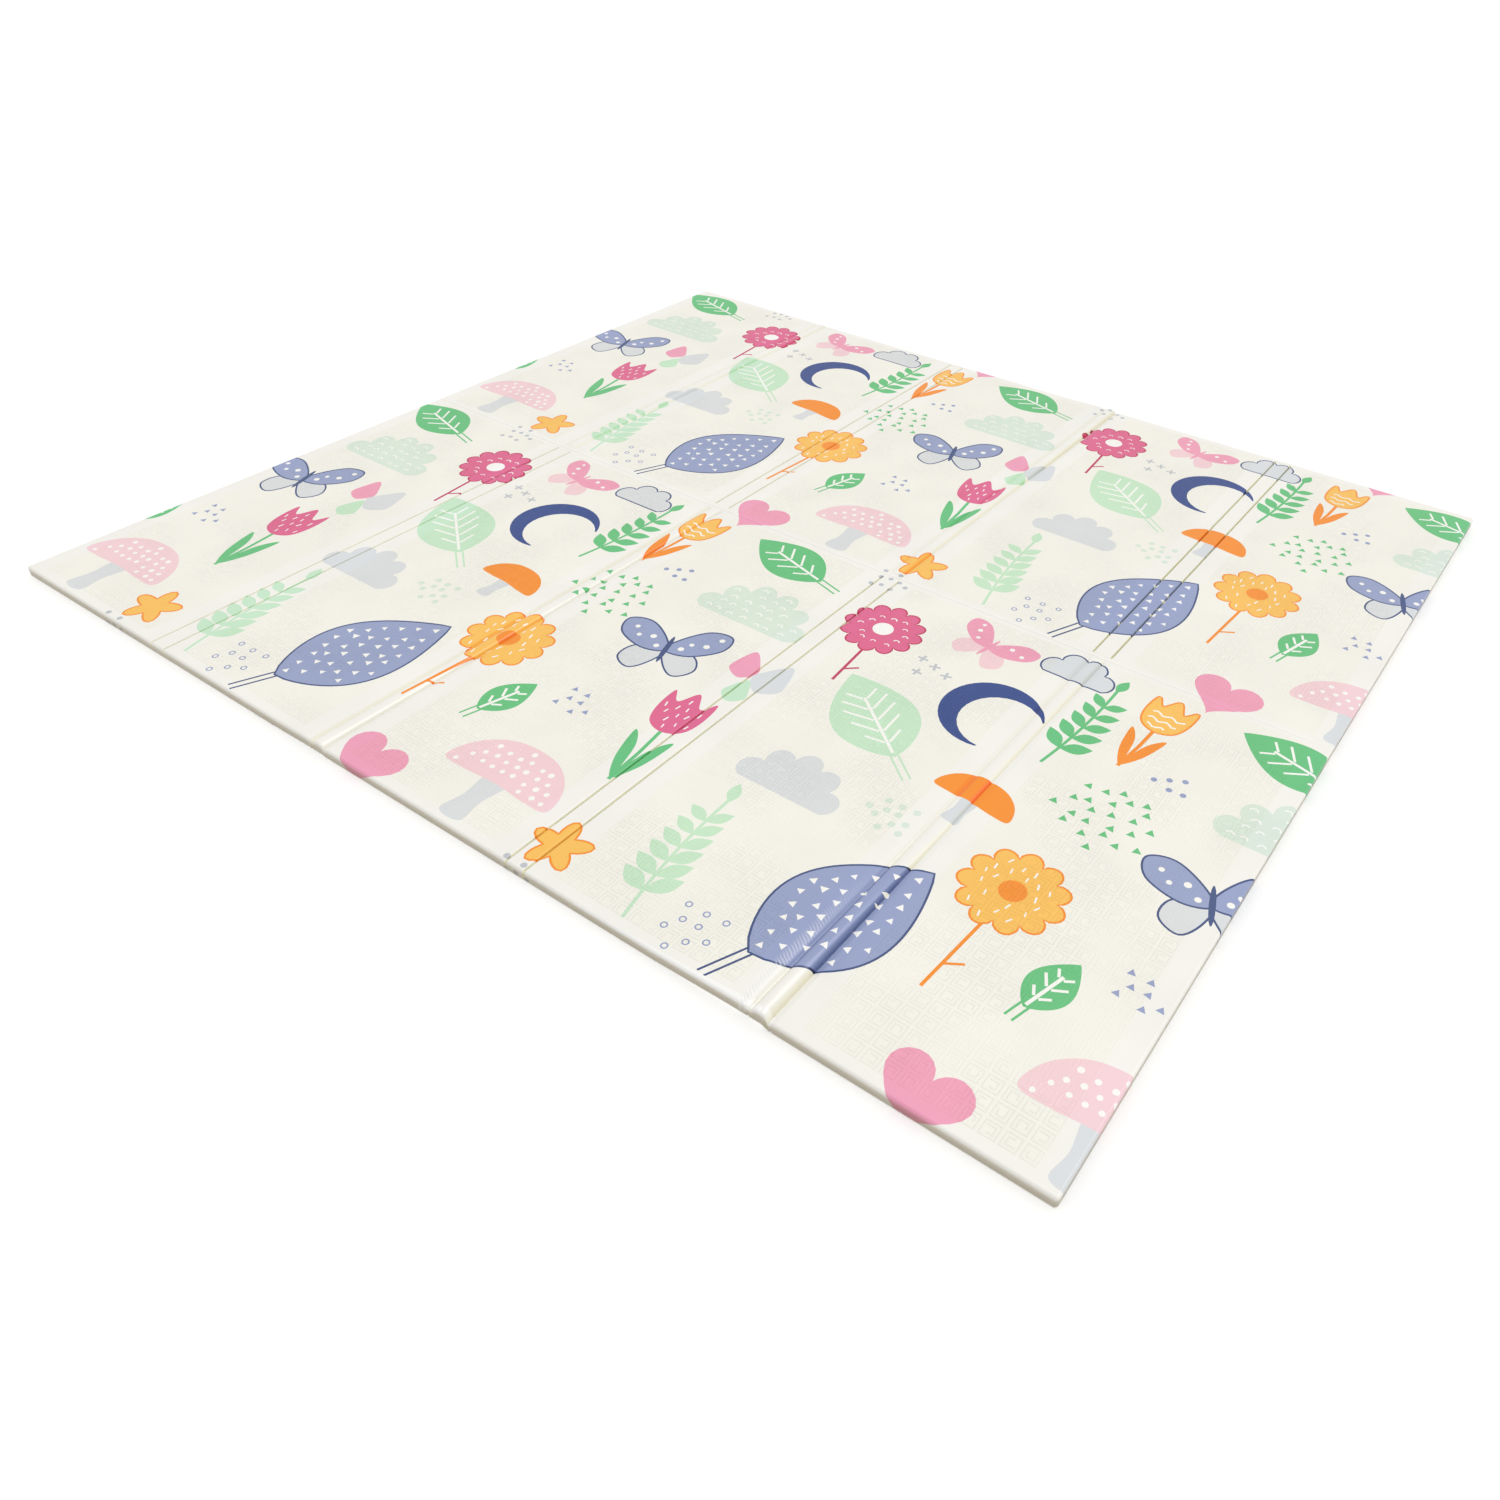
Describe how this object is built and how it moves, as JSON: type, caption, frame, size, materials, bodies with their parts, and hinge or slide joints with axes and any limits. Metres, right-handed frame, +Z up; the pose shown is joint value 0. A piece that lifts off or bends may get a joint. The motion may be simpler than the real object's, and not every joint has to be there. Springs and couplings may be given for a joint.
{
  "type": "foldable foam baby play mat",
  "caption": "Large rectangular foam play mat laid out flat, with panels that fold on pressed double hinges and a crease across the middle.",
  "frame": {"origin": "middle of the underside, on the floor", "axes": "+X runs across the row of panels, +Y from the front edge to the back edge, +Z up"},
  "size_m": [2, 1.8, 0.0262],
  "materials": {
    "printed_film": "soft printed plastic film over closed-cell foam, finely embossed, with a low sheen"
  },
  "bodies": {
    "root": {"mat_sheet": "printed_film"}
  },
  "joints": []
}
